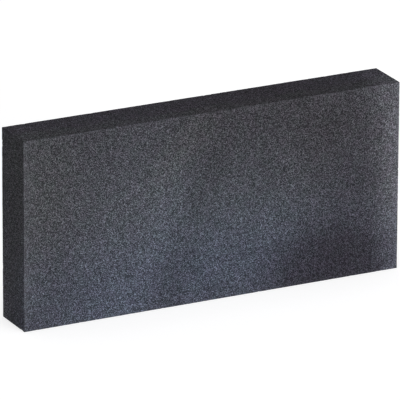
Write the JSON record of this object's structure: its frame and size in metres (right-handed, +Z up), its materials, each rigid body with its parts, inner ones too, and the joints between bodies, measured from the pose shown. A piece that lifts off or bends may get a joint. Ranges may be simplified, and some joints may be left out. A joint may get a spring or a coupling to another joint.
{
  "type": "sharpening whetstone",
  "caption": "Plain rectangular block of dark slate-grey bonded abrasive for honing carving and whittling blades, standing on its long narrow edge.",
  "frame": {"origin": "middle of the long narrow edge face that the stone rests on", "axes": "+X along the stone's length, +Y through its thickness from the front honing face to the back one, +Z up across its width"},
  "size_m": [0.105, 0.0126, 0.05],
  "materials": {
    "bonded_abrasive": "matte"
  },
  "bodies": {
    "root": {"whetstone_block": "bonded_abrasive"}
  },
  "joints": []
}
